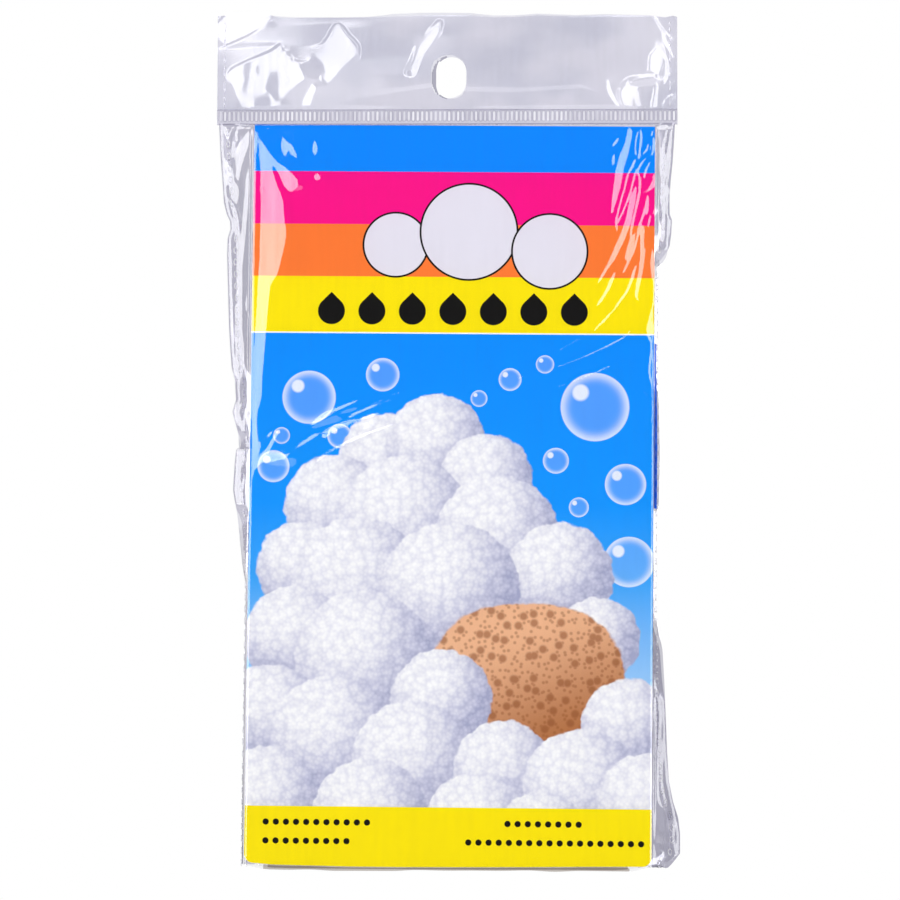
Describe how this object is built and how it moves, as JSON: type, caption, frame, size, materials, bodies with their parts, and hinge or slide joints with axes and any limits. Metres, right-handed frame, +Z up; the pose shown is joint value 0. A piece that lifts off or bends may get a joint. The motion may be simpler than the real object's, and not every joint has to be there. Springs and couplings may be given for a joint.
{
  "type": "packed shower cap",
  "caption": "Folded non-woven shower cap with a gathered elastic hem behind a printed card, in a clear hang bag with a crimped header seal; card and cap pull out of its mouth.",
  "frame": {"origin": "middle of the hang hole, in the plane of the bag's welds", "axes": "+Z up along the bag as it hangs, -Y out of the printed front, +X to the right seen from the front"},
  "size_m": [0.12, 0.0092, 0.2216],
  "materials": {
    "clear_film": "clear, glossy and crinkled",
    "weld": "crimped clear film",
    "printed_card": "printed and coated",
    "non_woven": "white spun-bonded cloth",
    "elastic": "covered elastic"
  },
  "bodies": {
    "bag": {"header_front_ply": "clear_film", "header_back_ply": "clear_film", "header_weld_left": "weld", "header_weld_right": "weld", "crimped_seal": "weld", "pocket_front_film": "clear_film", "pocket_back_film": "clear_film", "pocket_weld_left": "weld", "pocket_weld_right": "weld"},
    "card": {"insert_card": "printed_card"},
    "cap": {"cap_crown": "non_woven", "cap_hem_casing": "non_woven", "cap_elastic": "elastic", "cap_ruffle": "non_woven"}
  },
  "joints": [
    {"name": "card_slide", "type": "slide", "parent": "bag", "child": "card", "axis": [0, 0, -1], "range_m": [0, 0.195]},
    {"name": "cap_slide", "type": "slide", "parent": "bag", "child": "cap", "axis": [0, 0, -1], "range_m": [0, 0.183]}
  ]
}
